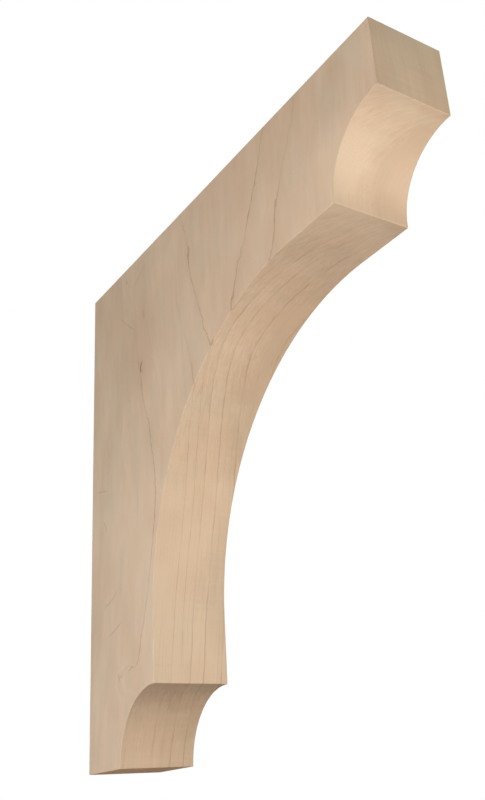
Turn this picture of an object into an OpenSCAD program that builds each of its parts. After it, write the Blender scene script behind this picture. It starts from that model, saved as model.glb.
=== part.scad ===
// Wooden corbel bracket, sawn from one slab of hardwood.
// Its back lies flat on a wall and its top carries a shelf or a worktop. The curved front has
// a cove under the nose, a quarter-round arch, and the same cove above the foot.
// Millimetres. The origin is the middle of the back, where the bracket is fixed to the wall.
// The back is the plane y = 0, the nose points to -y and the top faces +z.

/* [Slab] */
// Height of the back, from the foot to the top
height = 305; // [240:1:600]
// Depth of the top, from the wall to the nose
depth = 305; // [240:1:600]
// Thickness between the two flat sides
width = 45; // [18:0.5:150]

/* [Ends] */
// Height of the flat nose, and depth of the flat foot
end_thickness = 40; // [20:0.5:55]
// Radius of the quarter-round cove at each end
cove_radius = 38.5; // [15:0.5:50]
// Straight step between each cove and the arch
cove_step = 2; // [0.5:0.5:8]

/* [Arch] */
// Straight run at each end of the arch, before it starts to curve
arch_run = 36; // [4:1:50]

/* [Hidden] */
$fn = 96;
// How far a cut runs past the slab
over = 1;
// Thickness of the two arms, the one on the wall and the one under the shelf
arm = end_thickness + cove_radius + cove_step;
// Radius of the arch, which fits the shorter of the two arms
arch_radius = min(height, depth) - arm - cove_radius - arch_run;

// The squared slab before its front is shaped
module slab() {
    translate([-width / 2, -depth, -height / 2])
        cube([width, depth, height]);
}

// A cut right across the slab, open in front and below. It starts at from_wall from the back
// and at from_top below the top, and radius rounds its inner corner.
module cutout(from_wall, from_top, radius) {
    span = width + 2 * over;
    front = depth + over;
    foot = height + over;
    round_wall = from_wall + radius;
    round_top = from_top + radius;
    translate([-span / 2, 0, height / 2]) {
        translate([0, -front, -foot])
            cube([span, front - round_wall, foot - from_top]);
        translate([0, -front, -foot])
            cube([span, front - from_wall, foot - round_top]);
        translate([0, -round_wall, -round_top])
            rotate([0, 90, 0])
                cylinder(r = radius, h = span);
    }
}

// The whole bracket: the slab less its arch, the cove under the nose and the cove above the foot
module corbel() {
    color("burlywood")
        difference() {
            slab();
            cutout(arm, arm, arch_radius);
            cutout(depth - cove_radius, end_thickness, cove_radius);
            cutout(end_thickness, height - cove_radius, cove_radius);
        }
}

corbel();
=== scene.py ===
"""A wooden corbel bracket: one solid piece of maple, an arch between two coves cut from a square slab.

The piece is modelled from the frame's own box, in metres: the back lies on the plane y = 0, the nose points
to -Y, the top faces +Z, and X runs through the thickness. The wood is one procedural field in those same
coordinates, so every growth ring that reaches an arris carries on round it.
"""

import logging
import math
from collections.abc import Callable
from dataclasses import dataclass, field
from enum import Enum
from functools import cache
from typing import ClassVar

import bpy
from mathutils import Matrix, Vector


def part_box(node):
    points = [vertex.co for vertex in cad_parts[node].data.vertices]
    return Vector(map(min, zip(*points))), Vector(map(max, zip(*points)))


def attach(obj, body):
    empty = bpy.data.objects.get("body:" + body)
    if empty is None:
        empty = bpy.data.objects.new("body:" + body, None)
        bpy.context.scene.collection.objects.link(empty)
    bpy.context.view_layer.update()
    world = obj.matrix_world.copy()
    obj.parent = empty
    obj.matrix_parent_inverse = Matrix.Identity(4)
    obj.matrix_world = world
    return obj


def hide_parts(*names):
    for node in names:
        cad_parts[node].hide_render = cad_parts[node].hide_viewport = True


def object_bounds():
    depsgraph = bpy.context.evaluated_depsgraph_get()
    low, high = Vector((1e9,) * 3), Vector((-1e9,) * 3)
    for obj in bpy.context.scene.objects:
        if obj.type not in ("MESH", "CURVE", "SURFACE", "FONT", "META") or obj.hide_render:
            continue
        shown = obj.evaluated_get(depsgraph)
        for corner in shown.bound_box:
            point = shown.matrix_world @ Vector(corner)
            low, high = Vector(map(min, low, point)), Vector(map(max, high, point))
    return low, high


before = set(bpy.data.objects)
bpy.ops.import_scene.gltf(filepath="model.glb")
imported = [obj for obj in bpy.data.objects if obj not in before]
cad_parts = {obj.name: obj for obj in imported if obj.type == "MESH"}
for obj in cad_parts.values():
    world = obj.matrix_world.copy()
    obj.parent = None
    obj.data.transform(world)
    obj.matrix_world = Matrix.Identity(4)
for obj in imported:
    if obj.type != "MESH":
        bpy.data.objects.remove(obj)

LOG = logging.getLogger("corbel")
CAD_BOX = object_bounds()
MM = 0.001

FLOAT = "NodeSocketFloat"
VECTOR = "NodeSocketVector"

Socket = bpy.types.NodeSocket
Source = Socket | float | tuple[float, ...]


class Axis(Enum):
    """The directions of the bracket, by what they mean to a joiner."""

    THICKNESS = 0
    DEPTH = 1
    HEIGHT = 2


# The flat side that the marks lie on and the nose's end face, in the wood's millimetres.
NEAR_SIDE = round(CAD_BOX[0][Axis.THICKNESS.value] / MM, 1)
NOSE_END = round(CAD_BOX[0][Axis.DEPTH.value] / MM, 1)


# ---------------------------------------------------------------------------------------------------------
# Modelling
# ---------------------------------------------------------------------------------------------------------


def deselect_all() -> None:
    """Leaves object mode with nothing selected, the frame's own nodes included."""
    if bpy.context.object is not None and bpy.context.object.mode != "OBJECT":
        bpy.ops.object.mode_set(mode="OBJECT")
    bpy.ops.object.select_all(action="DESELECT")


def make_active(piece: bpy.types.Object) -> None:
    """Selects one piece alone and makes it the active one.

    Args:
        piece: The piece that the next operator acts on.
    """
    deselect_all()
    piece.select_set(True)
    bpy.context.view_layer.objects.active = piece


def add_block(name: str, low: Vector, high: Vector) -> bpy.types.Object:
    """Adds a rectangular block between two corners, with its place in its mesh.

    Args:
        name: The name of the new piece.
        low: Its lowest corner.
        high: Its highest corner.

    Returns:
        The block.
    """
    deselect_all()
    bpy.ops.mesh.primitive_cube_add(size=1.0, location=(low + high) / 2)
    block = bpy.context.object
    block.name = name
    block.data.name = name
    block.scale = high - low
    bpy.ops.object.transform_apply(location=True, rotation=True, scale=True)
    return block


def select_edges(piece: bpy.types.Object, wanted: Callable[[Vector, Vector], bool]) -> None:
    """Opens a piece in edit mode with only the wanted edges selected.

    Args:
        piece: The piece to open.
        wanted: Says of an edge's two ends whether it is one to select.
    """
    make_active(piece)
    bpy.ops.object.mode_set(mode="EDIT")
    bpy.ops.mesh.select_mode(type="EDGE")
    bpy.ops.mesh.select_all(action="DESELECT")
    bpy.ops.object.mode_set(mode="OBJECT")
    vertices = piece.data.vertices
    for edge in piece.data.edges:
        start, end = (vertices[index].co for index in edge.vertices)
        edge.select = wanted(start, end)
    bpy.ops.object.mode_set(mode="EDIT")


def close_edit() -> None:
    """Goes back to object mode."""
    bpy.ops.object.mode_set(mode="OBJECT")


def apply_modifier(piece: bpy.types.Object, modifier: bpy.types.Modifier) -> None:
    """Applies one modifier to its piece.

    Args:
        piece: The piece that carries it.
        modifier: The modifier to apply.
    """
    make_active(piece)
    bpy.ops.object.modifier_apply(modifier=modifier.name)


@dataclass(frozen=True)
class Hollow:
    """A square recess with one round inner corner, sawn away from the wall side and the top outwards.

    Attributes:
        name: What a joiner calls it.
        from_wall: Where it begins, measured from the wall.
        from_top: Where it begins, measured from the top.
        radius: The radius of its round inner corner.
        segments: How many straight facets its quarter circle has.
    """

    name: str
    from_wall: float
    from_top: float
    radius: float
    segments: int

    def cutter(self, low: Vector, high: Vector, over: float) -> bpy.types.Object:
        """Makes the solid that the hollow takes away.

        Args:
            low: The slab's lowest corner.
            high: The slab's highest corner.
            over: How far the solid stands past the slab.

        Returns:
            The solid, with its inner corner rounded.
        """
        inner_y = high.y - self.from_wall
        inner_z = high.z - self.from_top
        clear = Vector((over, over, over))
        far = Vector((high.x + over, inner_y, inner_z))
        solid = add_block(self.name + "_cutter", low - clear, far)
        close = 1e-6

        def on_corner(start: Vector, end: Vector) -> bool:
            """True for the edge that runs through the thickness at the inner corner."""
            return all(abs(p.y - inner_y) < close and abs(p.z - inner_z) < close for p in (start, end))

        select_edges(solid, on_corner)
        bpy.ops.mesh.bevel(offset=self.radius, segments=self.segments, profile=0.5, affect="EDGES")
        close_edit()
        return solid


@dataclass
class Corbel:
    """The bracket itself: a slab with three hollows and lightly sanded arrises.

    Attributes:
        end_thickness: The straight end left at the nose and at the foot.
        cove_radius: The radius of both coves.
        cove_step: The short straight between each cove and the arch's corner.
        arch_run: The straight at each end of the arch.
        arch_segments: How many facets the arch's quarter circle has.
        cove_segments: How many facets each cove's has.
        arris: How far the sharp edges are sanded back.
        arris_segments: How many facets round each sanded edge.
        over: How far the cutters stand past the slab.
        merge: How near two vertices lie to be one.
        sharp: The least angle, in degrees, of an edge that is sanded back.
        flat_weight: How strongly the flat faces hold their own shading.
    """

    end_thickness: float = 40 * MM
    cove_radius: float = 38.5 * MM
    cove_step: float = 2 * MM
    arch_run: float = 36 * MM
    arch_segments: int = 96
    cove_segments: int = 40
    arris: float = 0.30 * MM
    arris_segments: int = 3
    over: float = 5 * MM
    merge: float = 0.001 * MM
    sharp: float = 30.0
    flat_weight: int = 100
    low: Vector = field(init=False)
    high: Vector = field(init=False)
    piece: bpy.types.Object = field(init=False)

    def __post_init__(self) -> None:
        """Reads the slab's corners from the frame."""
        self.low, self.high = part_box("corbel")

    def hollows(self) -> list[Hollow]:
        """Works out the three hollows from the bracket's own sizes.

        Returns:
            The arch, the nose cove and the foot cove.
        """
        depth = self.high.y - self.low.y
        height = self.high.z - self.low.z
        arm = self.end_thickness + self.cove_radius + self.cove_step
        arch_radius = min(height, depth) - arm - self.cove_radius - self.arch_run
        return [
            Hollow("arch", arm, arm, arch_radius, self.arch_segments),
            Hollow("nose_cove", depth - self.cove_radius, self.end_thickness, self.cove_radius,
                   self.cove_segments),
            Hollow("foot_cove", self.end_thickness, height - self.cove_radius, self.cove_radius,
                   self.cove_segments),
        ]

    def build(self) -> bpy.types.Object:
        """Saws the hollows out of the slab and eases every sharp edge.

        Returns:
            The finished bracket.
        """
        self.piece = add_block("maple_corbel", self.low, self.high)
        for hollow in self.hollows():
            self.saw(hollow)
        self.clean()
        self.ease_arrises()
        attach(self.piece, "root")
        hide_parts("corbel")
        return self.piece

    def saw(self, hollow: Hollow) -> None:
        """Takes one hollow away from the slab.

        Args:
            hollow: The hollow to take away.
        """
        solid = hollow.cutter(self.low, self.high, self.over)
        cut = self.piece.modifiers.new(hollow.name, "BOOLEAN")
        cut.operation = "DIFFERENCE"
        cut.solver = "EXACT"
        cut.object = solid
        apply_modifier(self.piece, cut)
        bpy.data.objects.remove(solid)

    def clean(self) -> None:
        """Merges doubled vertices and turns every face outwards."""
        make_active(self.piece)
        bpy.ops.object.mode_set(mode="EDIT")
        bpy.ops.mesh.select_all(action="SELECT")
        bpy.ops.mesh.remove_doubles(threshold=self.merge)
        bpy.ops.mesh.normals_make_consistent(inside=False)
        close_edit()

    def ease_arrises(self) -> None:
        """Rounds the sharp edges and keeps the flat faces flat in their shading."""
        make_active(self.piece)
        bpy.ops.object.shade_smooth()
        ease = self.piece.modifiers.new("eased_arris", "BEVEL")
        ease.width = self.arris
        ease.segments = self.arris_segments
        ease.limit_method = "ANGLE"
        ease.angle_limit = math.radians(self.sharp)
        ease.miter_outer = "MITER_ARC"
        apply_modifier(self.piece, ease)
        shading = self.piece.modifiers.new("flat_faces", "WEIGHTED_NORMAL")
        shading.mode = "FACE_AREA"
        shading.weight = self.flat_weight
        apply_modifier(self.piece, shading)

    def dress(self, finish: "MapleFinish") -> None:
        """Gives the bracket its wood.

        Args:
            finish: The finish of the timber.
        """
        self.piece.data.materials.clear()
        self.piece.data.materials.append(finish.material())


# ---------------------------------------------------------------------------------------------------------
# Finishes
# ---------------------------------------------------------------------------------------------------------


class NodeSheet:
    """A node tree that is being filled in, with one short call for each kind of node that the wood needs."""

    def __init__(self, tree: bpy.types.NodeTree) -> None:
        """Starts on a tree.

        Args:
            tree: The tree to fill in.
        """
        self.tree = tree

    def add(self, kind: str, **settings: object) -> bpy.types.Node:
        """Adds a node.

        Args:
            kind: The node's type.
            **settings: Its own settings, by name.

        Returns:
            The node.
        """
        node = self.tree.nodes.new(kind)
        for name, value in settings.items():
            setattr(node, name, value)
        return node

    def feed(self, socket: Socket, source: Source) -> None:
        """Links an output to an input, or sets the input's own value.

        Args:
            socket: The input.
            source: An output, a number or a tuple of numbers.
        """
        if isinstance(source, Socket):
            self.tree.links.new(source, socket)
        else:
            socket.default_value = source

    def math(self, operation: str, first: Source, second: Source = 0.0, third: Source = 0.0) -> Socket:
        """Adds a sum.

        Args:
            operation: What is worked out.
            first: The first number.
            second: The second number, if there is one.
            third: The third number, if there is one.

        Returns:
            The result.
        """
        node = self.add("ShaderNodeMath", operation=operation)
        for socket, source in zip(node.inputs, (first, second, third)):
            self.feed(socket, source)
        return node.outputs["Value"]

    def total(self, *parts: Source) -> Socket:
        """Adds several numbers up.

        Args:
            *parts: The numbers.

        Returns:
            Their total.
        """
        result = parts[0]
        for part in parts[1:]:
            result = self.math("ADD", result, part)
        return result

    def product(self, *parts: Source) -> Socket:
        """Multiplies several numbers together.

        Args:
            *parts: The numbers.

        Returns:
            Their product.
        """
        result = parts[0]
        for part in parts[1:]:
            result = self.math("MULTIPLY", result, part)
        return result

    def vector(self, operation: str, first: Source, second: Source) -> Socket:
        """Adds a sum of vectors.

        Args:
            operation: What is worked out.
            first: The first vector.
            second: The second vector.

        Returns:
            The result.
        """
        node = self.add("ShaderNodeVectorMath", operation=operation)
        self.feed(node.inputs[0], first)
        self.feed(node.inputs[1], second)
        return node.outputs["Vector"]

    def parts(self, vector: Source) -> list[Socket]:
        """Splits a vector into its three numbers.

        Args:
            vector: The vector.

        Returns:
            Its X, Y and Z.
        """
        node = self.add("ShaderNodeSeparateXYZ")
        self.feed(node.inputs[0], vector)
        return list(node.outputs)

    def join(self, x: Source, y: Source, z: Source) -> Socket:
        """Makes a vector of three numbers.

        Args:
            x: Its X.
            y: Its Y.
            z: Its Z.

        Returns:
            The vector.
        """
        node = self.add("ShaderNodeCombineXYZ")
        for socket, source in zip(node.inputs, (x, y, z)):
            self.feed(socket, source)
        return node.outputs[0]

    def soft_step(self, value: Source, start: Source, end: Source,
                  low: Source = 0.0, high: Source = 1.0) -> Socket:
        """Goes smoothly from one level to another.

        Args:
            value: The number that drives it.
            start: Where it starts.
            end: Where it ends.
            low: The level before the start.
            high: The level after the end.

        Returns:
            The level.
        """
        node = self.add("ShaderNodeMapRange", interpolation_type="SMOOTHSTEP")
        for socket, source in zip(node.inputs, (value, start, end, low, high)):
            self.feed(socket, source)
        return node.outputs["Result"]

    def blend(self, share: Source, first: Source, second: Source) -> Socket:
        """Mixes two colours.

        Args:
            share: How much of the second one.
            first: The first colour.
            second: The second colour.

        Returns:
            The mixed colour.
        """
        node = self.add("ShaderNodeMix", data_type="RGBA")
        self.feed(node.inputs[0], share)
        self.feed(node.inputs[6], first)
        self.feed(node.inputs[7], second)
        return node.outputs[2]


class Group:
    """A shader node group, built once and placed as often as it is wanted."""

    def __init__(self, name: str, inputs: dict[str, str], outputs: dict[str, str]) -> None:
        """Makes the empty group with its sockets.

        Args:
            name: The group's name.
            inputs: Its inputs' names and types.
            outputs: Its outputs' names and types.
        """
        self.tree = bpy.data.node_groups.new(name, "ShaderNodeTree")
        for label, kind in inputs.items():
            self.tree.interface.new_socket(label, in_out="INPUT", socket_type=kind)
        for label, kind in outputs.items():
            self.tree.interface.new_socket(label, in_out="OUTPUT", socket_type=kind)
        self.sheet = NodeSheet(self.tree)
        self.inputs = self.sheet.add("NodeGroupInput").outputs
        self.outputs = self.sheet.add("NodeGroupOutput").inputs

    def place(self, sheet: NodeSheet, **sources: Source) -> bpy.types.NodeOutputs:
        """Places the group in a tree.

        Args:
            sheet: The tree that it goes into.
            **sources: What feeds each input, by name.

        Returns:
            Its outputs.
        """
        node = sheet.add("ShaderNodeGroup", node_tree=self.tree)
        for name, source in sources.items():
            sheet.feed(node.inputs[name], source)
        return node.outputs


@cache
def noise_group() -> Group:
    """Builds the group behind every random field in the wood.

    Returns:
        The group, whose Amount is a number from about -0.5 to 0.5.
    """
    made = Group("drawn_out_noise", {"Place": VECTOR, "Share": VECTOR, "Step": VECTOR, "Detail": FLOAT,
                                     "Roughness": FLOAT}, {"Amount": FLOAT})
    sheet = made.sheet
    scaled = sheet.vector("MULTIPLY", made.inputs["Place"], made.inputs["Share"])
    texture = sheet.add("ShaderNodeTexNoise")
    sheet.feed(texture.inputs["Vector"], sheet.vector("ADD", scaled, made.inputs["Step"]))
    sheet.feed(texture.inputs["Scale"], 1.0)
    sheet.feed(texture.inputs["Detail"], made.inputs["Detail"])
    sheet.feed(texture.inputs["Roughness"], made.inputs["Roughness"])
    sheet.feed(made.outputs["Amount"], sheet.math("SUBTRACT", texture.outputs["Fac"], 0.5))
    return made


@dataclass(frozen=True)
class Ripple:
    """A soft random field, drawn out to its own size along each axis.

    Attributes:
        grain: The size of its patches along X, Y and Z, in millimetres.
        seed: A sideways step that gives another field of the same kind.
        strength: What the field, from about -0.5 to 0.5, is multiplied by.
        detail: How many finer fields are laid over it.
        roughness: How strong the finer fields are.
        STEP: The way that a seed steps sideways.
    """

    STEP: ClassVar[tuple[float, float, float]] = (1.0, 2.3, -1.7)

    grain: tuple[float, float, float]
    seed: float
    strength: float = 1.0
    detail: float = 2.0
    roughness: float = 0.5

    def place(self, sheet: NodeSheet, place: Source) -> Socket:
        """Draws the field.

        Args:
            sheet: The tree to draw it in.
            place: Where, in millimetres.

        Returns:
            Its amount.
        """
        share = tuple(1.0 / size for size in self.grain)
        step = tuple(self.seed * part for part in Ripple.STEP)
        outputs = noise_group().place(
            sheet, Place=place, Share=share, Step=step, Detail=self.detail, Roughness=self.roughness)
        return sheet.product(outputs["Amount"], self.strength)


@dataclass(frozen=True)
class Cloud:
    """A soft round patch where the wood differs a little, mostly in its own mottle; on the nose cove two of
    them are a painted highlight and painted shade. Lengths are in millimetres.

    Attributes:
        centre: Its middle.
        size: How far it reaches along X, Y and Z.
        strength: How strong it is, and in which direction.
    """

    centre: tuple[float, float, float]
    size: tuple[float, float, float]
    strength: float

    @staticmethod
    @cache
    def group() -> Group:
        """Builds the group that draws one patch, the first time that it is asked for.

        Returns:
            The group, whose Amount falls off softly from the middle.
        """
        made = Group("cloud", {"Place": VECTOR, "Centre": VECTOR, "Size": VECTOR, "Strength": FLOAT},
                     {"Amount": FLOAT})
        sheet = made.sheet
        apart = sheet.vector("SUBTRACT", made.inputs["Place"], made.inputs["Centre"])
        scaled = sheet.vector("DIVIDE", apart, made.inputs["Size"])
        reach = sheet.add("ShaderNodeVectorMath", operation="LENGTH")
        sheet.feed(reach.inputs[0], scaled)
        soft = sheet.soft_step(reach.outputs["Value"], 0.0, 1.0, 1.0, 0.0)
        sheet.feed(made.outputs["Amount"], sheet.math("MULTIPLY", soft, made.inputs["Strength"]))
        return made

    def place(self, sheet: NodeSheet, place: Source) -> Socket:
        """Draws the patch.

        Args:
            sheet: The tree to draw it in.
            place: Where, in millimetres.

        Returns:
            Its amount.
        """
        outputs = Cloud.group().place(sheet, Place=place, Centre=self.centre, Size=self.size,
                                      Strength=self.strength)
        return outputs["Amount"]


@dataclass(frozen=True)
class RingFigure:
    """How the growth rings lie in the plank. All lengths are in millimetres.

    The layers are nearly parallel to the flat sides, so they show as fine straight lines across the arch and
    as a few long wandering ones on the sides. They bulge along the crown and fall away to both sides of it.

    Attributes:
        spacing: The thickness of one ring.
        widening: How much thicker the rings grow towards the far side.
        first: Where, through the thickness at the crown, ring number nought ends.
        crown: Where, along the depth, the layers bulge most.
        crown_round: How round the bulge is.
        nose_fall: How fast the layers fall away towards the nose.
        wall_fall: How fast they fall away towards the wall.
        waist: The height at which they are lowest.
        waist_round: How round that low place is.
        rise_above: How fast they rise above it.
        rise_below: How fast they rise below it.
        curl_from: How far from the wall the layers start to curl at the nose.
        curl: The radius of that curl.
        swirls: The lumps and dips in the layers.
        plain_from: The first ring of the run that all show plainly.
        plain_alone: One more ring that shows plainly by itself.
        faint: How much of a ring's line shows on the others.
        nose_fade: Where, along the depth, the lines fade out and where they are whole again.
        showing: The patches where the lines show more, or less where below nought.
        broad: The widest waves in the layers, in millimetres.
        wave: The middling waves.
        ragged: The smallest waves, which roughen a line.
        breadth: What makes a line wider in some places than in others.
        unevenness: How strongly it does.
        half_width: Half a line's width, in rings, on the curved faces and on the flat sides.
        fading: What makes the lines come and go.
        fading_range: Where in that field they start to show and where they are whole.
        fading_least: How much of a line is left where it has gone.
        least_shown: How much is left under the patches that quieten it.
        nose_least: How much is left at the nose.
        fine_share: How many fine lines show on the curved faces for each ring.
        fine_wander: How far the fine lines wander from even spacing.
        fine_width: Half a fine line's width, in its own spacing.
        fine_breaks: What breaks the fine lines up.
        fine_range: Where in that field they start to show and where they are whole.
        fine_strength: How dark they are.
        fine_at_nose: How much of them is left at the nose.
        late_power: How sharply a ring darkens towards its end.
    """

    spacing: float = 5.5
    widening: float = 0.12
    first: float = 20.1
    crown: float = -155.0
    crown_round: float = 12.0
    nose_fall: float = 0.18
    wall_fall: float = 0.305
    waist: float = -15.0
    waist_round: float = 20.0
    rise_above: float = 0.08
    rise_below: float = 0.10
    curl_from: float = 235.0
    curl: float = 70.0
    swirls: tuple[Cloud, ...] = (
        Cloud((NEAR_SIDE, -46.0, -108.0), (60.0, 24.0, 12.0), 9.0),
        Cloud((NEAR_SIDE, -155.0, 152.0), (60.0, 45.0, 60.0), -3.6),
        Cloud((NEAR_SIDE, -57.5, -101.5), (40.0, 4.0, 4.0), -1.8),
        Cloud((NEAR_SIDE, -50.5, -103.5), (40.0, 4.0, 4.0), 1.8),
        Cloud((NEAR_SIDE, -43.5, -105.0), (40.0, 4.0, 4.0), -1.6),
    )
    plain_from: float = -1.0
    plain_alone: float = -4.0
    faint: float = 0.16
    nose_fade: tuple[float, float] = (-272.0, -212.0)
    showing: tuple[Cloud, ...] = (
        Cloud((NEAR_SIDE, -112.0, 75.0), (22.0, 24.0, 115.0), -0.70),
        Cloud((NEAR_SIDE, -118.0, 150.0), (22.0, 34.0, 36.0), -0.60),
        Cloud((NEAR_SIDE, -48.0, 122.0), (22.0, 30.0, 48.0), -0.60),
        Cloud((NEAR_SIDE, -228.0, 112.0), (22.0, 16.0, 50.0), -0.35),
        Cloud((NEAR_SIDE, -83.0, 15.0), (20.0, 16.0, 75.0), 0.85),
        Cloud((NEAR_SIDE, -55.0, -100.0), (20.0, 34.0, 20.0), 1.00),
        Cloud((NEAR_SIDE, -52.0, -124.0), (24.0, 28.0, 14.0), -2.60),
        Cloud((NEAR_SIDE, -198.0, 120.0), (20.0, 20.0, 36.0), 0.40),
        Cloud((NEAR_SIDE, -138.0, 78.0), (22.0, 20.0, 60.0), -0.50),
        Cloud((0.0, -105.0, -10.0), (60.0, 60.0, 60.0), 0.25),
    )
    broad: Ripple = Ripple((60.0, 45.0, 110.0), 4.0, 1.8)
    wave: Ripple = Ripple((30.0, 15.0, 24.0), 9.0, 1.6)
    ragged: Ripple = Ripple((8.0, 3.5, 6.0), 2.0, 0.9)
    breadth: Ripple = Ripple((10.0, 9.0, 16.0), 13.0)
    unevenness: float = 2.4
    half_width: tuple[float, float] = (0.058, 0.035)
    fading: Ripple = Ripple((14.0, 16.0, 34.0), 6.0)
    fading_range: tuple[float, float] = (-0.14, 0.12)
    fading_least: float = 0.28
    least_shown: float = 0.05
    nose_least: float = 0.10
    fine_share: float = 2.7
    fine_wander: float = 0.5
    fine_width: float = 0.11
    fine_breaks: Ripple = Ripple((3.0, 12.0, 26.0), 17.0)
    fine_range: tuple[float, float] = (-0.10, 0.16)
    fine_strength: float = 0.42
    fine_at_nose: float = 0.45
    late_power: float = 4.0

    def lift(self, sheet: NodeSheet, place: Source) -> Socket:
        """Works out how far the layers are lifted through the thickness.

        Args:
            sheet: The tree to work in.
            place: Where, in millimetres.

        Returns:
            The lift in millimetres.
        """
        _, y, z = sheet.parts(place)
        along = sheet.math("SUBTRACT", y, self.crown)
        rounded = sheet.math("SQRT", sheet.math("MULTIPLY_ADD", along, along, self.crown_round**2))
        crown = sheet.math("MULTIPLY", rounded, -(self.nose_fall + self.wall_fall) / 2)
        tilt = sheet.math("MULTIPLY", along, (self.nose_fall - self.wall_fall) / 2)
        above = sheet.math("SUBTRACT", z, self.waist)
        bowed = sheet.math("SQRT", sheet.math("MULTIPLY_ADD", above, above, self.waist_round**2))
        waist = sheet.math("MULTIPLY", bowed, (self.rise_above + self.rise_below) / 2)
        lean = sheet.math("MULTIPLY", above, (self.rise_above - self.rise_below) / 2)
        past = sheet.math("MAXIMUM", sheet.math("MULTIPLY_ADD", y, -1.0, -self.curl_from), 0.0)
        curl = sheet.product(past, past, -0.5 / self.curl)
        swirls = [swirl.place(sheet, place) for swirl in self.swirls]
        waves = [ripple.place(sheet, place) for ripple in (self.broad, self.wave, self.ragged)]
        return sheet.total(crown, tilt, waist, lean, curl, *waves, *swirls)

    def group(self) -> Group:
        """Builds the group that finds the rings at any place in the wood.

        Returns:
            The group: Line is the thin dark end of each ring, Late the soft darkening before it, Tint each
            ring's own tone, and Across the distance through the layers in millimetres.
        """
        made = Group(
            "growth_rings",
            {"Place": VECTOR, "Flatness": FLOAT},
            {"Line": FLOAT, "Late": FLOAT, "Tint": FLOAT, "Across": FLOAT},
        )
        sheet = made.sheet
        place, flatness = made.inputs["Place"], made.inputs["Flatness"]
        x, y, _ = sheet.parts(place)
        across = sheet.total(x, self.lift(sheet, place), self.first)
        wider = sheet.math("MULTIPLY_ADD", sheet.math("MAXIMUM", across, 0.0), self.widening, self.spacing)
        count = sheet.math("DIVIDE", across, wider)
        nearest = sheet.math("ROUND", count)
        away = sheet.math("ABSOLUTE", sheet.math("SUBTRACT", count, nearest))
        breadth = self.breadth.place(sheet, place)
        wide = sheet.soft_step(flatness, 0.0, 1.0, *self.half_width)
        uneven = sheet.product(wide, sheet.math("MULTIPLY_ADD", breadth, self.unevenness, 1.0))
        line = sheet.soft_step(away, 0.0, uneven, 1.0, 0.0)
        nose = sheet.soft_step(y, *self.nose_fade, self.nose_least, 1.0)
        shown = sheet.product(self.plainness(sheet, nearest), self.loudness(sheet, place), nose)
        fine = sheet.product(self.fine_lines(sheet, place, count, breadth),
                             sheet.math("MAXIMUM", nose, self.fine_at_nose),
                             sheet.math("SUBTRACT", 1.0, flatness))
        sheet.feed(made.outputs["Line"], sheet.math("MAXIMUM", sheet.product(line, shown), fine))
        within = sheet.math("FRACT", count)
        late = sheet.product(sheet.math("POWER", within, self.late_power), shown)
        sheet.feed(made.outputs["Late"], late)
        year = sheet.add("ShaderNodeTexWhiteNoise", noise_dimensions="1D")
        sheet.feed(year.inputs["W"], sheet.math("FLOOR", count))
        sheet.feed(made.outputs["Tint"], sheet.math("SUBTRACT", year.outputs["Value"], 0.5))
        sheet.feed(made.outputs["Across"], across)
        return made

    def plainness(self, sheet: NodeSheet, nearest: Source) -> Socket:
        """Works out how plainly a ring shows by its number.

        Args:
            sheet: The tree to work in.
            nearest: The number of the nearest ring.

        Returns:
            One for a plain ring, less for a faint one.
        """
        run = sheet.soft_step(nearest, self.plain_from - 0.5, self.plain_from, self.faint, 1.0)
        apart = sheet.math("ABSOLUTE", sheet.math("SUBTRACT", nearest, self.plain_alone))
        alone = sheet.soft_step(apart, 0.0, 0.5, 1.0, 0.0)
        return sheet.math("MAXIMUM", run, alone)

    def loudness(self, sheet: NodeSheet, place: Source) -> Socket:
        """Works out how much the lines show at a place.

        Args:
            sheet: The tree to work in.
            place: Where, in millimetres.

        Returns:
            A share of one.
        """
        fading = sheet.soft_step(self.fading.place(sheet, place), *self.fading_range, self.fading_least, 1.0)
        loud = sheet.total(fading, *[patch.place(sheet, place) for patch in self.showing])
        return sheet.math("MINIMUM", sheet.math("MAXIMUM", loud, self.least_shown), 1.0)

    def fine_lines(self, sheet: NodeSheet, place: Source, count: Source, breadth: Source) -> Socket:
        """Draws the fine lines between the rings.

        Args:
            sheet: The tree to draw them in.
            place: Where, in millimetres.
            count: The count of rings.
            breadth: What makes the lines wander.

        Returns:
            Their darkness.
        """
        spread = sheet.product(count, self.fine_share)
        fine_count = sheet.math("MULTIPLY_ADD", breadth, self.fine_wander, spread)
        away = sheet.math("ABSOLUTE", sheet.math("SUBTRACT", sheet.math("FRACT", fine_count), 0.5))
        whole = sheet.soft_step(
            self.fine_breaks.place(sheet, place), *self.fine_range, 0.0, self.fine_strength)
        return sheet.product(sheet.soft_step(away, 0.0, self.fine_width, 1.0, 0.0), whole)


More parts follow.
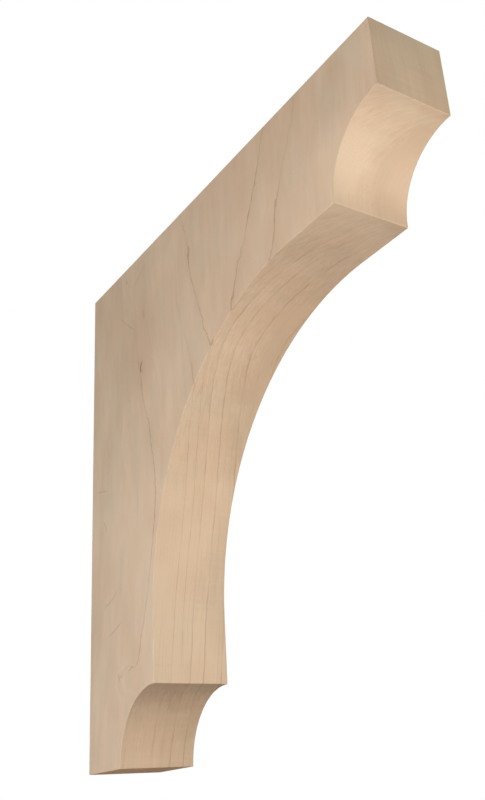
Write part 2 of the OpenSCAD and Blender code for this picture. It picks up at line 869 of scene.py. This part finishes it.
@dataclass(frozen=True)
class Fibre:
    """The fine texture along the grain: long soft streaks, fine fibres, short ray flecks and cut ends.

    Attributes:
        broad: The broad streaks.
        narrow: The narrow streaks.
        nose_range: Where, along the depth, the narrow streaks are faint and where they are whole.
        nose_share: How strong they are at the nose and away from it.
        flat_share: How strong they are on the flat sides, of what they are on the curved faces.
        fine: The fine fibres.
        dashes: The ray flecks.
        crowd: Where the flecks crowd together.
        crowding: How strongly they do.
        fleck_range: Where in that field a fleck starts and where it is whole.
        bend: How far the cut fibres sway, in millimetres.
        pores: The cut ends of the fibres.
        sanding: The marks that run across the curved faces.
    """

    broad: Ripple = Ripple((3.0, 7.0, 60.0), 1.0)
    narrow: Ripple = Ripple((0.55, 3.0, 45.0), 6.0, detail=3.0, roughness=0.6)
    nose_range: tuple[float, float] = (NOSE_END, NOSE_END + 25.0)
    nose_share: tuple[float, float] = (0.1, 0.85)
    flat_share: float = 0.45
    fine: Ripple = Ripple((0.45, 0.6, 11.0), 3.0, detail=3.0, roughness=0.6)
    dashes: Ripple = Ripple((0.7, 0.55, 3.2), 8.0, detail=1.0)
    crowd: Ripple = Ripple((14.0, 14.0, 30.0), 5.0)
    crowding: float = 0.45
    fleck_range: tuple[float, float] = (0.19, 0.29)
    bend: Ripple = Ripple((9.0, 9.0, 9.0), 15.0, 1.6)
    pores: Ripple = Ripple((0.62, 7.0, 7.0), 7.0, roughness=0.6)
    sanding: Ripple = Ripple((40.0, 5.0, 2.2), 12.0, roughness=0.6)

    def group(self) -> Group:
        """Builds the group.

        Returns:
            The group: Streak, Fine and Pores are tones round zero, Fleck a mask of short dark dashes, and
            Sanding the tone of the marks that run across the curved faces.
        """
        made = Group(
            "fibre",
            {"Place": VECTOR, "Across": FLOAT, "Flatness": FLOAT},
            {"Streak": FLOAT, "Fine": FLOAT, "Fleck": FLOAT, "Pores": FLOAT, "Sanding": FLOAT},
        )
        sheet = made.sheet
        place, across = made.inputs["Place"], made.inputs["Across"]
        _, y, z = sheet.parts(place)
        layered = sheet.join(across, y, z)
        combed = sheet.product(
            self.narrow.place(sheet, layered),
            sheet.soft_step(y, *self.nose_range, *self.nose_share),
            sheet.soft_step(made.inputs["Flatness"], 0.0, 1.0, 1.0, self.flat_share))
        sheet.feed(made.outputs["Streak"], sheet.total(combed, self.broad.place(sheet, layered)))
        sheet.feed(made.outputs["Fine"], self.fine.place(sheet, place))
        crowded = sheet.math(
            "MULTIPLY_ADD", self.crowd.place(sheet, place), self.crowding, self.dashes.place(sheet, place))
        sheet.feed(made.outputs["Fleck"], sheet.soft_step(crowded, *self.fleck_range))
        ends = sheet.join(sheet.total(self.bend.place(sheet, place), across), y, z)
        sheet.feed(made.outputs["Pores"], self.pores.place(sheet, ends))
        sheet.feed(made.outputs["Sanding"], self.sanding.place(sheet, place))
        return made


@dataclass(frozen=True)
class Mark:
    """One short natural mark in the wood: a stray line of grain or a pin knot. Lengths are in millimetres.

    Attributes:
        centre: Its middle.
        slope: How far it climbs towards the wall, in degrees.
        length: Its length.
        width: Its width.
        bend: How much it bows, in millimetres at its ends.
        depth: How deep it goes into the wood.
        strength: How dark it is.
        WHOLE_ALONG: The share of its length, from the middle, over which it is whole.
        WHOLE_DEEP: The share of its depth over which it is whole.
    """

    WHOLE_ALONG: ClassVar[float] = 0.35
    WHOLE_DEEP: ClassVar[float] = 0.3

    centre: tuple[float, float, float]
    slope: float
    length: float
    width: float
    bend: float = 0.0
    depth: float = 4.0
    strength: float = 1.0

    @staticmethod
    def group() -> Group:
        """Builds the group that draws one mark.

        Returns:
            The group, whose Mask is the mark's darkness.
        """
        made = Group(
            "mark",
            {"Place": VECTOR, "Centre": VECTOR, "Slope": FLOAT, "Length": FLOAT, "Width": FLOAT,
             "Bend": FLOAT, "Depth": FLOAT, "Strength": FLOAT},
            {"Mask": FLOAT},
        )
        sheet = made.sheet
        apart = sheet.vector("SUBTRACT", made.inputs["Place"], made.inputs["Centre"])
        x, y, z = sheet.parts(apart)
        cosine = sheet.math("COSINE", made.inputs["Slope"])
        sine = sheet.math("SINE", made.inputs["Slope"])
        along = sheet.total(sheet.product(y, cosine), sheet.product(z, sine))
        aside = sheet.math("SUBTRACT", sheet.product(z, cosine), sheet.product(y, sine))
        reach = sheet.math("DIVIDE", along, sheet.product(made.inputs["Length"], 0.5))
        bow = sheet.product(reach, reach, made.inputs["Bend"])
        off = sheet.math("DIVIDE", sheet.math("SUBTRACT", aside, bow), made.inputs["Width"])
        over_width = sheet.soft_step(sheet.math("ABSOLUTE", off), 0.0, 1.0, 1.0, 0.0)
        over_length = sheet.soft_step(sheet.math("ABSOLUTE", reach), Mark.WHOLE_ALONG, 1.0, 1.0, 0.0)
        deep = sheet.math("DIVIDE", sheet.math("ABSOLUTE", x), made.inputs["Depth"])
        over_depth = sheet.soft_step(deep, Mark.WHOLE_DEEP, 1.0, 1.0, 0.0)
        shape = sheet.product(over_width, over_length, over_depth, made.inputs["Strength"])
        sheet.feed(made.outputs["Mask"], shape)
        return made

    def place(self, sheet: NodeSheet, group: Group, place: Source) -> Socket:
        """Draws the mark.

        Args:
            sheet: The tree to draw it in.
            group: The group that draws a mark.
            place: Where, in millimetres.

        Returns:
            Its darkness.
        """
        outputs = group.place(
            sheet, Place=place, Centre=self.centre, Slope=math.radians(self.slope), Length=self.length,
            Width=self.width, Bend=self.bend, Depth=self.depth, Strength=self.strength)
        return outputs["Mask"]


@dataclass(frozen=True)
class MapleFinish:
    """Bare sanded maple, with some painted light: a painted highlight and painted shade on the nose cove,
    and sawn ends made paler as painted light.

    Attributes:
        pale: The wood's palest colour.
        deep: Its deepest ordinary colour.
        rosy: The colour that warm patches lean to.
        olive: The colour that cool patches lean to.
        line: The colour of a ring's dark end.
        knot: The colour of a pin knot.
        sawn_and_painted_light: The colour of the sawn top and foot: the warmer tone of their cut ends, made
            paler as painted light that stands in for the light from below which the foot lacks.
        rings: How the rings lie.
        clouds_and_painted_light: The broad patches that are deeper, or paler where they are below nought.
            Most are the wood's own mottle; two on the nose cove are painted light, a painted highlight on
            its left and painted shade on its right.
        blushes: The broad patches that are warmer.
        grain_marks: The short stray lines of grain.
        pin_knots: The small dark knots.
        base_tone: How far the plain wood is from the palest colour to the deepest.
        patches: The soft patches in that tone.
        ring_tint: How much each ring's own tone counts.
        ring_late: How much the darkening before a ring's end counts.
        streaks: How much the streaks count.
        fibres: How much the fine fibres count.
        cut_fibres: How much the cut ends of the fibres count.
        sanding: How much the sanding marks count.
        cut_range: How far up a face must turn for its fibres to start to show cut, and to be wholly cut.
        warmth: The patches of warmer and cooler wood.
        base_warmth: How warm the wood is between them.
        warm_share: How much of the warm or the cool colour the patches take.
        sawn_depth: How near the top and foot the sawn colour, partly painted light, starts, and is whole, in
            millimetres.
        sawn_and_painted_light_share: How much of the sawn colour, with its painted light, they take.
        line_weight: How dark a line is on the curved faces and on the flat sides.
        fleck_weight: How dark a ray fleck is.
        roughness: The roughness of the sanded face.
        rough_fibres: How much the fibres change it.
        rough_cut: How much rougher the cut fibres are.
        gloss: The specular level.
        relief: The depth of the fibres' relief, in millimetres.
        relief_shares: How much of it fine fibres, flecks and sanding marks take.
    """

    pale: tuple[float, float, float] = (0.72, 0.545, 0.39)
    deep: tuple[float, float, float] = (0.58, 0.425, 0.295)
    rosy: tuple[float, float, float] = (0.66, 0.46, 0.32)
    olive: tuple[float, float, float] = (0.64, 0.525, 0.385)
    line: tuple[float, float, float] = (0.34, 0.19, 0.095)
    knot: tuple[float, float, float] = (0.27, 0.15, 0.075)
    sawn_and_painted_light: tuple[float, float, float] = (0.88, 0.55, 0.33)
    rings: RingFigure = RingFigure()
    clouds_and_painted_light: tuple[Cloud, ...] = (
        Cloud((0.0, -90.0, -45.0), (90.0, 90.0, 75.0), -0.65),
        Cloud((26.0, -306.0, 132.0), (26.0, 30.0, 40.0), 0.45),
        Cloud((NEAR_SIDE, -60.0, 110.0), (40.0, 60.0, 50.0), 0.30),
        Cloud((NEAR_SIDE, -250.0, 140.0), (40.0, 80.0, 60.0), 0.45),
        Cloud((NEAR_SIDE, -50.0, -15.0), (20.0, 70.0, 60.0), -0.35),
        Cloud((NEAR_SIDE, -68.0, 84.0), (22.0, 26.0, 46.0), 0.60),
        Cloud((24.0, -150.0, 35.0), (34.0, 85.0, 90.0), 0.95),
        Cloud((24.0, -82.0, -60.0), (30.0, 36.0, 70.0), 0.85),
        Cloud((-8.0, -306.0, 132.0), (18.0, 30.0, 30.0), -0.40),
        Cloud((0.0, -82.0, -105.0), (60.0, 20.0, 34.0), -0.50),
        # Painted highlight: the nose cove's left half is made paler where the light falls brightest on it.
        Cloud((-22.0, -272.0, 97.0), (24.0, 34.0, 30.0), -0.75),
        # Painted shade: the nose cove's right half is made deeper, to take back light that falls there.
        Cloud((20.0, -280.0, 94.0), (34.0, 44.0, 40.0), 1.20),
        Cloud((10.0, -205.0, 72.0), (60.0, 50.0, 40.0), 0.25),
    )
    blushes: tuple[Cloud, ...] = (
        Cloud((NEAR_SIDE, -72.0, 86.0), (25.0, 22.0, 42.0), 1.10),
        Cloud((NEAR_SIDE, -35.0, 125.0), (25.0, 30.0, 22.0), 0.45),
        Cloud((20.0, -290.0, 99.0), (26.0, 28.0, 26.0), 0.65),
        Cloud((5.0, -180.0, 66.0), (50.0, 45.0, 34.0), 0.60),
        Cloud((0.0, -310.0, 150.0), (60.0, 60.0, 50.0), -0.80),
        Cloud((NEAR_SIDE, -125.0, 70.0), (25.0, 30.0, 45.0), -0.60),
        Cloud((NEAR_SIDE, -30.0, 20.0), (25.0, 50.0, 60.0), -0.45),
        Cloud((NEAR_SIDE, -265.0, 138.0), (25.0, 55.0, 45.0), -0.45),
    )
    grain_marks: tuple[Mark, ...] = (
        Mark((NEAR_SIDE, -14.5, 10.5), 13.0, 18.0, 0.6, strength=0.6),
        Mark((NEAR_SIDE, -19.5, -13.0), 60.0, 11.0, 0.6, bend=-1.5, strength=0.6),
        Mark((NEAR_SIDE, -29.0, -60.0), -22.0, 24.0, 0.6, bend=2.5, strength=0.8),
        Mark((NEAR_SIDE, -34.0, -78.0), -18.0, 22.0, 0.6, bend=0.8, strength=0.8),
        Mark((NEAR_SIDE, -68.0, 138.0), -27.0, 26.0, 0.7, bend=1.0, strength=0.5),
        Mark((NEAR_SIDE, -52.0, 110.0), 40.0, 38.0, 0.6, bend=1.2, strength=0.5),
        Mark((NEAR_SIDE, -120.0, 90.0), 88.0, 120.0, 0.5, strength=0.35),
        Mark((NEAR_SIDE, -42.0, 46.0), 89.0, 22.0, 0.5, strength=0.5),
        Mark((NEAR_SIDE, -63.0, -9.0), 91.0, 38.0, 0.5, strength=0.4),
        Mark((NEAR_SIDE, -20.0, 112.0), 92.0, 28.0, 0.5, strength=0.4),
    )
    pin_knots: tuple[Mark, ...] = (
        Mark((NEAR_SIDE, -69.0, 73.5), 106.0, 9.5, 1.35, bend=1.4, strength=1.0),
        Mark((NEAR_SIDE, -70.5, 70.2), 150.0, 2.6, 0.7, strength=0.6),
        Mark((NEAR_SIDE, -70.0, 74.0), 70.0, 22.0, 6.0, bend=1.0, strength=0.08),
        Mark((NEAR_SIDE, -73.0, 108.0), 75.0, 9.0, 2.0, strength=0.2),
        Mark((NEAR_SIDE, -50.0, 143.0), 60.0, 4.0, 1.0, strength=0.35),
        Mark((NEAR_SIDE, -53.5, -102.5), 162.0, 8.0, 0.9, bend=0.6, strength=0.38),
        Mark((NEAR_SIDE, -38.5, -105.0), 68.0, 6.0, 0.9, bend=0.6, strength=0.38),
    )

    base_tone: float = 0.42
    patches: Ripple = Ripple((30.0, 22.0, 40.0), 11.0, 1.1)
    ring_tint: float = 0.20
    ring_late: float = 0.30
    streaks: float = 0.75
    fibres: float = 0.40
    cut_fibres: float = 1.6
    sanding: float = 0.45
    cut_range: tuple[float, float] = (0.35, 0.95)
    warmth: Ripple = Ripple((26.0, 16.0, 34.0), 21.0, 3.0)
    base_warmth: float = 0.10
    warm_share: float = 0.6
    sawn_depth: tuple[float, float] = (0.6, 0.2)
    sawn_and_painted_light_share: float = 0.5
    line_weight: tuple[float, float] = (0.42, 0.62)
    fleck_weight: float = 0.16
    roughness: float = 0.56
    rough_fibres: float = 0.12
    rough_cut: float = 0.10
    gloss: float = 0.35
    relief: float = 0.02
    relief_shares: tuple[float, float, float] = (0.6, -0.2, 0.4)

    def colour(self, sheet: NodeSheet, place: Source, rings: bpy.types.NodeOutputs,
               fibre: bpy.types.NodeOutputs, cut_end: Socket, curved: Socket) -> Socket:
        """Works out the wood's colour, with the painted highlight and painted shade on the nose cove, before
        any dark mark lies on it.

        Args:
            sheet: The tree to work in.
            place: Where, in millimetres.
            rings: The ring group's outputs.
            fibre: The fibre group's outputs.
            cut_end: How squarely the fibres are cut here.
            curved: How far this is from one of the flat sides.

        Returns:
            The colour.
        """
        tone = sheet.total(
            self.base_tone,
            self.patches.place(sheet, place),
            sheet.product(rings["Tint"], self.ring_tint),
            sheet.product(rings["Late"], self.ring_late),
            sheet.product(fibre["Streak"], self.streaks),
            sheet.product(fibre["Fine"], self.fibres),
            sheet.product(fibre["Pores"], cut_end, self.cut_fibres),
            sheet.product(fibre["Sanding"], curved, self.sanding),
            # The clouds lay the wood's mottle, and the painted highlight and painted shade on the nose cove.
            *[cloud.place(sheet, place) for cloud in self.clouds_and_painted_light],
        )
        colour = sheet.blend(tone, (*self.pale, 1.0), (*self.deep, 1.0))
        blush = sheet.total(self.base_warmth, self.warmth.place(sheet, place),
                            *[patch.place(sheet, place) for patch in self.blushes])
        colour = sheet.blend(sheet.product(blush, self.warm_share), colour, (*self.rosy, 1.0))
        return sheet.blend(sheet.product(blush, -self.warm_share), colour, (*self.olive, 1.0))

    def material(self) -> bpy.types.Material:
        """Builds the material.

        Returns:
            The maple material.
        """
        made = bpy.data.materials.new("maple")
        made.use_nodes = True
        sheet = NodeSheet(made.node_tree)
        shader = made.node_tree.nodes["Principled BSDF"]
        spot = sheet.add("ShaderNodeTexCoord")
        place = sheet.vector("MULTIPLY", spot.outputs["Object"], (1.0 / MM,) * 3)
        facing = [sheet.math("ABSOLUTE", part) for part in sheet.parts(spot.outputs["Normal"])]
        flatness, endness = facing[Axis.THICKNESS.value], facing[Axis.HEIGHT.value]
        curved = sheet.math("SUBTRACT", 1.0, flatness)
        rings = self.rings.group().place(sheet, Place=place, Flatness=flatness)
        fibre = Fibre().group().place(sheet, Place=place, Across=rings["Across"], Flatness=flatness)
        cut_end = sheet.soft_step(endness, *self.cut_range)
        colour = self.colour(sheet, place, rings, fibre, cut_end, curved)

        # The sawn top and foot take their warmer end-grain tone, made paler as painted light for the weak
        # light from below.
        colour = sheet.blend(self.sawn_and_painted_light_mask(sheet, place, endness), colour, (*self.sawn_and_painted_light, 1.0))
        colour = self.darken(sheet, place, colour, rings["Line"], fibre["Fleck"], flatness)
        sheet.feed(shader.inputs["Base Color"], colour)
        rough = sheet.total(self.roughness, sheet.product(fibre["Fine"], self.rough_fibres),
                            sheet.product(cut_end, self.rough_cut))
        sheet.feed(shader.inputs["Roughness"], rough)
        shader.inputs["Specular IOR Level"].default_value = self.gloss

        fine_share, fleck_share, sanding_share = self.relief_shares
        height = sheet.total(sheet.product(fibre["Fine"], fine_share),
                             sheet.product(fibre["Fleck"], fleck_share),
                             sheet.product(fibre["Sanding"], curved, sanding_share))
        bump = sheet.add("ShaderNodeBump")
        sheet.feed(bump.inputs["Distance"], self.relief * MM)
        sheet.feed(bump.inputs["Height"], height)
        sheet.feed(shader.inputs["Normal"], bump.outputs["Normal"])
        return made

    def sawn_and_painted_light_mask(self, sheet: NodeSheet, place: Source, endness: Source) -> Socket:
        """Finds the sawn top and foot, where the sawn colour with its painted light lies.

        Args:
            sheet: The tree to work in.
            place: Where, in millimetres.
            endness: How squarely the face looks up or down.

        Returns:
            How much of the sawn colour, partly painted light, lies there.
        """
        tall = sheet.math("ABSOLUTE", sheet.parts(place)[Axis.HEIGHT.value])
        end_height = CAD_BOX[1][Axis.HEIGHT.value] / MM
        start, whole = self.sawn_depth
        near_end = sheet.soft_step(tall, end_height - start, end_height - whole)
        return sheet.product(near_end, endness, self.sawn_and_painted_light_share)

    def darken(self, sheet: NodeSheet, place: Source, colour: Source, line: Source, fleck: Source,
               flatness: Source) -> Socket:
        """Lays the ring lines, stray grain, ray flecks and pin knots over the wood's colour.

        Args:
            sheet: The tree to work in.
            place: Where, in millimetres.
            colour: The wood's own colour.
            line: The ring lines.
            fleck: The ray flecks.
            flatness: How squarely the face looks to one of the flat sides.

        Returns:
            The finished colour.
        """
        mark_group = Mark.group()
        strongest = line
        for mark in self.grain_marks:
            strongest = sheet.math("MAXIMUM", strongest, mark.place(sheet, mark_group, place))
        weight = sheet.soft_step(flatness, 0.0, 1.0, *self.line_weight)
        dark = sheet.math("MULTIPLY_ADD", fleck, self.fleck_weight, sheet.product(strongest, weight))
        lined = sheet.blend(dark, colour, (*self.line, 1.0))
        knots = 0.0
        for knot in self.pin_knots:
            knots = sheet.math("MAXIMUM", knots, knot.place(sheet, mark_group, place))
        return sheet.blend(knots, lined, (*self.knot, 1.0))


# ---------------------------------------------------------------------------------------------------------
# Studio
# ---------------------------------------------------------------------------------------------------------


@dataclass(frozen=True)
class StudioCamera:
    """The camera, low down on the nose side and looking up under the arch.

    Attributes:
        position: Where it stands.
        azimuth: The direction it stands in round the bracket, in degrees, 0 in front of the nose.
        elevation: How far it stands above the horizon, in degrees; below it is negative.
        roll: How far its right-hand side drops, in degrees.
        lens: The focal length in millimetres on a 36 mm long side.
        shift: The sideways and upward shift, as shares of the long side.
    """

    position: Vector = field(default_factory=lambda: Vector((-0.2655, -0.5523, -0.1859)))
    azimuth: float = -35.86
    elevation: float = -24.71
    roll: float = 4.39
    lens: float = 43.8
    shift: tuple[float, float] = (-0.0509, -0.0296)

    def build(self) -> bpy.types.Object:
        """Adds the camera and makes it the scene's own.

        Returns:
            The camera.
        """
        azimuth, elevation = math.radians(self.azimuth), math.radians(self.elevation)
        back = Vector((math.sin(azimuth) * math.cos(elevation),
                       -math.cos(azimuth) * math.cos(elevation),
                       math.sin(elevation)))
        level = (-back).to_track_quat("-Z", "Y").to_matrix().to_4x4()
        rolled = level @ Matrix.Rotation(math.radians(-self.roll), 4, "Z")
        deselect_all()
        bpy.ops.object.camera_add()
        camera = bpy.context.object
        camera.name = "studio_camera"
        camera.matrix_world = Matrix.Translation(self.position) @ rolled
        camera.data.lens = self.lens
        camera.data.shift_x, camera.data.shift_y = self.shift
        bpy.context.scene.camera = camera
        return camera


# Where most of the lights point.
BRACKET_MIDDLE = (0.0, -0.14, 0.0)


@dataclass(frozen=True)
class Softbox:
    """One soft square light.

    Attributes:
        name: What it does.
        position: Where it hangs.
        target: What it points at.
        side: The length of its sides.
        power: Its power in watts.
        colour: Its colour.
    """

    name: str
    position: tuple[float, float, float]
    target: tuple[float, float, float]
    side: float
    power: float
    colour: tuple[float, float, float]

    def build(self) -> bpy.types.Object:
        """Adds the light.

        Returns:
            The light.
        """
        deselect_all()
        bpy.ops.object.light_add(type="AREA", location=self.position)
        lamp = bpy.context.object
        lamp.name = self.name
        aim = Vector(self.target) - Vector(self.position)
        lamp.rotation_euler = aim.to_track_quat("-Z", "Y").to_euler()
        lamp.data.shape = "SQUARE"
        lamp.data.size = self.side
        lamp.data.energy = self.power
        lamp.data.color = self.colour
        lamp.visible_camera = False
        return lamp


@dataclass
class Studio:
    """The plain pale floor, the white surround and the soft lights.

    Attributes:
        floor_drop: How far the floor lies below the middle of the bracket.
        floor_radius: How far the floor reaches.
        floor_sides: How many sides its round edge has.
        floor_roughness: The roughness of its paint.
        surround: The strength of the light from all round.
        surround_colour: The colour of that light.
        floor_seen: How pale the camera sees the floor.
        floor_lit: How much of the light the floor gives back to the bracket.
        floor_share: How much of what the camera sees of the floor is its own paleness.
        lights: The soft lights.
    """

    floor_drop: float = 0.50
    floor_radius: float = 12.0
    floor_sides: int = 64
    floor_roughness: float = 0.9
    surround: float = 0.05
    surround_colour: tuple[float, float, float] = (1.0, 1.0, 1.0)
    floor_seen: float = 0.92
    floor_lit: tuple[float, float, float] = (0.24, 0.20, 0.155)
    floor_share: float = 0.85
    lights: tuple[Softbox, ...] = (
        Softbox("left_fill", (-0.90, -0.30, -0.15), BRACKET_MIDDLE, 0.80, 6.5, (0.95, 0.94, 0.90)),
        Softbox("near_key", (-0.45, -0.50, -0.12), BRACKET_MIDDLE, 0.25, 0.5, (1.0, 0.9, 0.9)),
        Softbox("low_front", (0.0, -0.42, -0.08), BRACKET_MIDDLE, 0.15, 0.05, (0.7, 0.8, 1.0)),
        Softbox("low_left", (-0.45, -0.08, -0.30), BRACKET_MIDDLE, 0.25, 0.65, (0.6, 0.8, 1.0)),
        Softbox("right_front", (0.30, -0.50, 0.02), BRACKET_MIDDLE, 0.20, 1.4, (1.0, 1.0, 0.9)),
        Softbox("cove_light", (-0.16, -0.40, -0.22), BRACKET_MIDDLE, 0.10, 0.3, (1.0, 0.85, 0.75)),
        Softbox("nose_light", (-0.03, -0.42, 0.0), (0.0, -0.28, 0.10), 0.08, 0.025, (1.0, 1.0, 1.0)),
        Softbox("far_fill", (1.00, 0.15, 0.15), BRACKET_MIDDLE, 0.60, 4.0, (1.0, 0.98, 0.96)),
        Softbox("wall_fill", (0.50, 0.90, 0.30), (0.0, -0.10, 0.0), 0.60, 7.0, (1.0, 0.97, 0.94)),
        Softbox("overhead", (0.45, 0.10, 1.25), BRACKET_MIDDLE, 0.60, 12.0, (1.0, 0.98, 0.96)),
    )

    def build(self) -> None:
        """Sets up the floor, the surround, the lights and the picture's tone."""
        self.floor()
        self.world()
        for light in self.lights:
            light.build()
        bpy.context.scene.view_settings.view_transform = "Standard"
        bpy.context.scene.view_settings.look = "None"

    def floor(self) -> None:
        """Lays a round pale floor well below the camera."""
        deselect_all()
        bpy.ops.mesh.primitive_circle_add(
            vertices=self.floor_sides, radius=self.floor_radius, fill_type="NGON",
            location=(0, 0, -self.floor_drop))
        floor = bpy.context.object
        floor.name = "floor"
        bpy.ops.object.transform_apply(location=True, rotation=True, scale=True)
        paint = bpy.data.materials.new("pale_floor")
        paint.use_nodes = True
        nodes, links = paint.node_tree.nodes, paint.node_tree.links
        matt = nodes["Principled BSDF"]
        matt.inputs["Base Color"].default_value = (*self.floor_lit, 1.0)
        matt.inputs["Roughness"].default_value = self.floor_roughness
        matt.inputs["Specular IOR Level"].default_value = 0.0
        pale = nodes.new("ShaderNodeEmission")
        pale.inputs["Strength"].default_value = self.floor_seen
        path = nodes.new("ShaderNodeLightPath")
        share = nodes.new("ShaderNodeMath")
        share.operation = "MULTIPLY"
        share.inputs[1].default_value = self.floor_share
        mix = nodes.new("ShaderNodeMixShader")
        links.new(path.outputs["Is Camera Ray"], share.inputs[0])
        links.new(share.outputs[0], mix.inputs["Fac"])
        links.new(matt.outputs["BSDF"], mix.inputs[1])
        links.new(pale.outputs["Emission"], mix.inputs[2])
        links.new(mix.outputs["Shader"], nodes["Material Output"].inputs["Surface"])
        floor.data.materials.append(paint)

    def world(self) -> None:
        """Surrounds the studio with white that the camera sees at full strength."""
        world = bpy.data.worlds.new("surround")
        bpy.context.scene.world = world
        world.use_nodes = True
        nodes, links = world.node_tree.nodes, world.node_tree.links
        lit = nodes["Background"]
        lit.inputs["Color"].default_value = (*self.surround_colour, 1.0)
        lit.inputs["Strength"].default_value = self.surround
        seen = nodes.new("ShaderNodeBackground")
        seen.inputs["Color"].default_value = (1.0, 1.0, 1.0, 1.0)
        path = nodes.new("ShaderNodeLightPath")
        mix = nodes.new("ShaderNodeMixShader")
        links.new(path.outputs["Is Camera Ray"], mix.inputs["Fac"])
        links.new(lit.outputs["Background"], mix.inputs[1])
        links.new(seen.outputs["Background"], mix.inputs[2])
        links.new(mix.outputs["Shader"], nodes["World Output"].inputs["Surface"])


# ---------------------------------------------------------------------------------------------------------
# Assembly
# ---------------------------------------------------------------------------------------------------------


def main() -> None:
    """Builds the studio and the bracket, in order, and reports each piece."""
    logging.basicConfig(level=logging.INFO, format="%(name)s: %(message)s")
    camera = StudioCamera().build()
    LOG.info("%s stands ready", camera.name)
    corbel = Corbel()
    piece = corbel.build()
    corbel.dress(MapleFinish())
    LOG.info("%s has %d faces", piece.name, len(piece.data.polygons))
    Studio().build()
    LOG.info("floor and lights are set")


if __name__ == "__main__":
    main()
